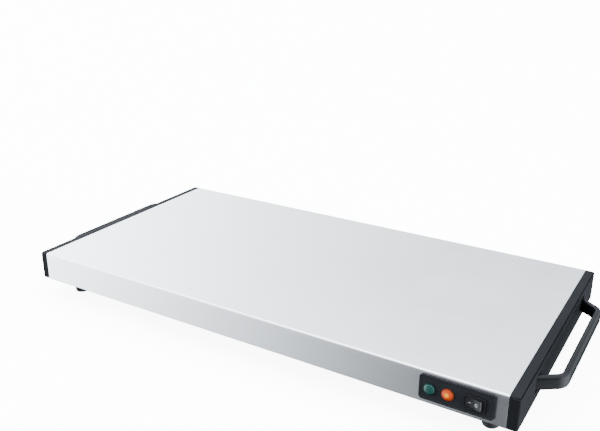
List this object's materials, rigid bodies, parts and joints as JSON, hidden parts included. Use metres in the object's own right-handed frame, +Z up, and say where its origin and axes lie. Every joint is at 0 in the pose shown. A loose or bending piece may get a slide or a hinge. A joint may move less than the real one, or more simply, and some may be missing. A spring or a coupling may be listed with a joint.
{
  "type": "electric food warmer tray",
  "caption": "Low electric food warming tray: brushed steel hot top between dark plastic end caps with bow handles, rubber feet, and a front panel with pilot lamps and a rocker switch.",
  "frame": {"origin": "on the floor under the middle of the body, which is the bottom centre of the bounding box", "axes": "+X along the body towards the end with the controls, -Y the front with the control panel, +Z up"},
  "size_m": [0.6694, 0.3228, 0.0595],
  "materials": {
    "stainless_top": "fine brushed stainless",
    "zinc_steel": "zinc plated steel",
    "aluminium_sheet": "mill finish sheet",
    "element_sheath": "heat-darkened steel tube",
    "brass_tab": "plain brass",
    "charcoal_plastic": "fine textured charcoal moulding",
    "panel_plastic": "satin dark moulding",
    "black_plastic": "semi-gloss black moulding",
    "rubber_foot": "matt black rubber",
    "green_lens": "clear green moulding, unlit",
    "amber_lens": "clear amber moulding, lit",
    "bulb_glass": "clear glass",
    "mineral_wool": "pale mineral wool",
    "ceramic": "off-white ceramic",
    "brown_wire": "brown silicone sleeve",
    "blue_wire": "blue silicone sleeve",
    "white_wire": "white glass-braid sleeve",
    "earth_wire": "green earth sleeve"
  },
  "bodies": {
    "housing": {"amber_lamp_body": "black_plastic", "amber_lamp_lead": "white_wire", "amber_lamp_lens": "amber_lens", "amber_neon_bulb": "bulb_glass", "base_plate": "zinc_steel", "base_screw_front_left": "zinc_steel", "base_screw_front_right": "zinc_steel", "base_screw_rear_left": "zinc_steel", "base_screw_rear_right": "zinc_steel", "bracket_screw_front": "zinc_steel", "bracket_screw_rear": "zinc_steel", "control_panel": "panel_plastic", "cord_gland": "black_plastic", "earth_lead": "earth_wire", "earth_nut": "zinc_steel", "earth_stud": "zinc_steel", "foot_front_left": "rubber_foot", "foot_front_right": "rubber_foot", "foot_rear_left": "rubber_foot", "foot_rear_right": "rubber_foot", "fuse_clip": "zinc_steel", "fuse_lead": "white_wire", "green_lamp_body": "black_plastic", "green_lamp_lead": "brown_wire", "green_lamp_lens": "green_lens", "green_neon_bulb": "bulb_glass", "heat_spreader": "aluminium_sheet", "heating_element": "element_sheath", "insulation_blanket": "mineral_wool", "lamp_jumper_lead": "blue_wire", "lamp_neutral_lead": "blue_wire", "left_element_strap": "zinc_steel", "left_end_cap": "charcoal_plastic", "left_handle": "charcoal_plastic", "left_handle_screw_front": "zinc_steel", "left_handle_screw_rear": "zinc_steel", "left_strap_bolt": "zinc_steel", "live_element_terminal": "brass_tab", "live_lead": "brown_wire", "neutral_element_terminal": "brass_tab", "neutral_lead": "blue_wire", "reflector_tray": "aluminium_sheet", "right_element_strap": "zinc_steel", "right_end_cap": "charcoal_plastic", "right_handle": "charcoal_plastic", "right_handle_screw_front": "zinc_steel", "right_handle_screw_rear": "zinc_steel", "right_strap_bolt": "zinc_steel", "switch_body": "black_plastic", "switch_load_terminal": "brass_tab", "switch_supply_terminal": "brass_tab", "switched_lead": "brown_wire", "terminal_block": "ceramic", "thermal_fuse": "ceramic", "thermostat_body": "black_plastic", "thermostat_bracket": "zinc_steel", "thermostat_cup": "aluminium_sheet", "thermostat_lead": "white_wire", "top_cover": "stainless_top"},
    "rocker": {"switch_rocker": "black_plastic"}
  },
  "joints": [
    {"name": "rocker_hinge", "type": "hinge", "parent": "housing", "child": "rocker", "pos_m": [0.26916, -0.1555, 0.04165], "axis": [0, 0, 1], "range_deg": [0, 22]}
  ]
}
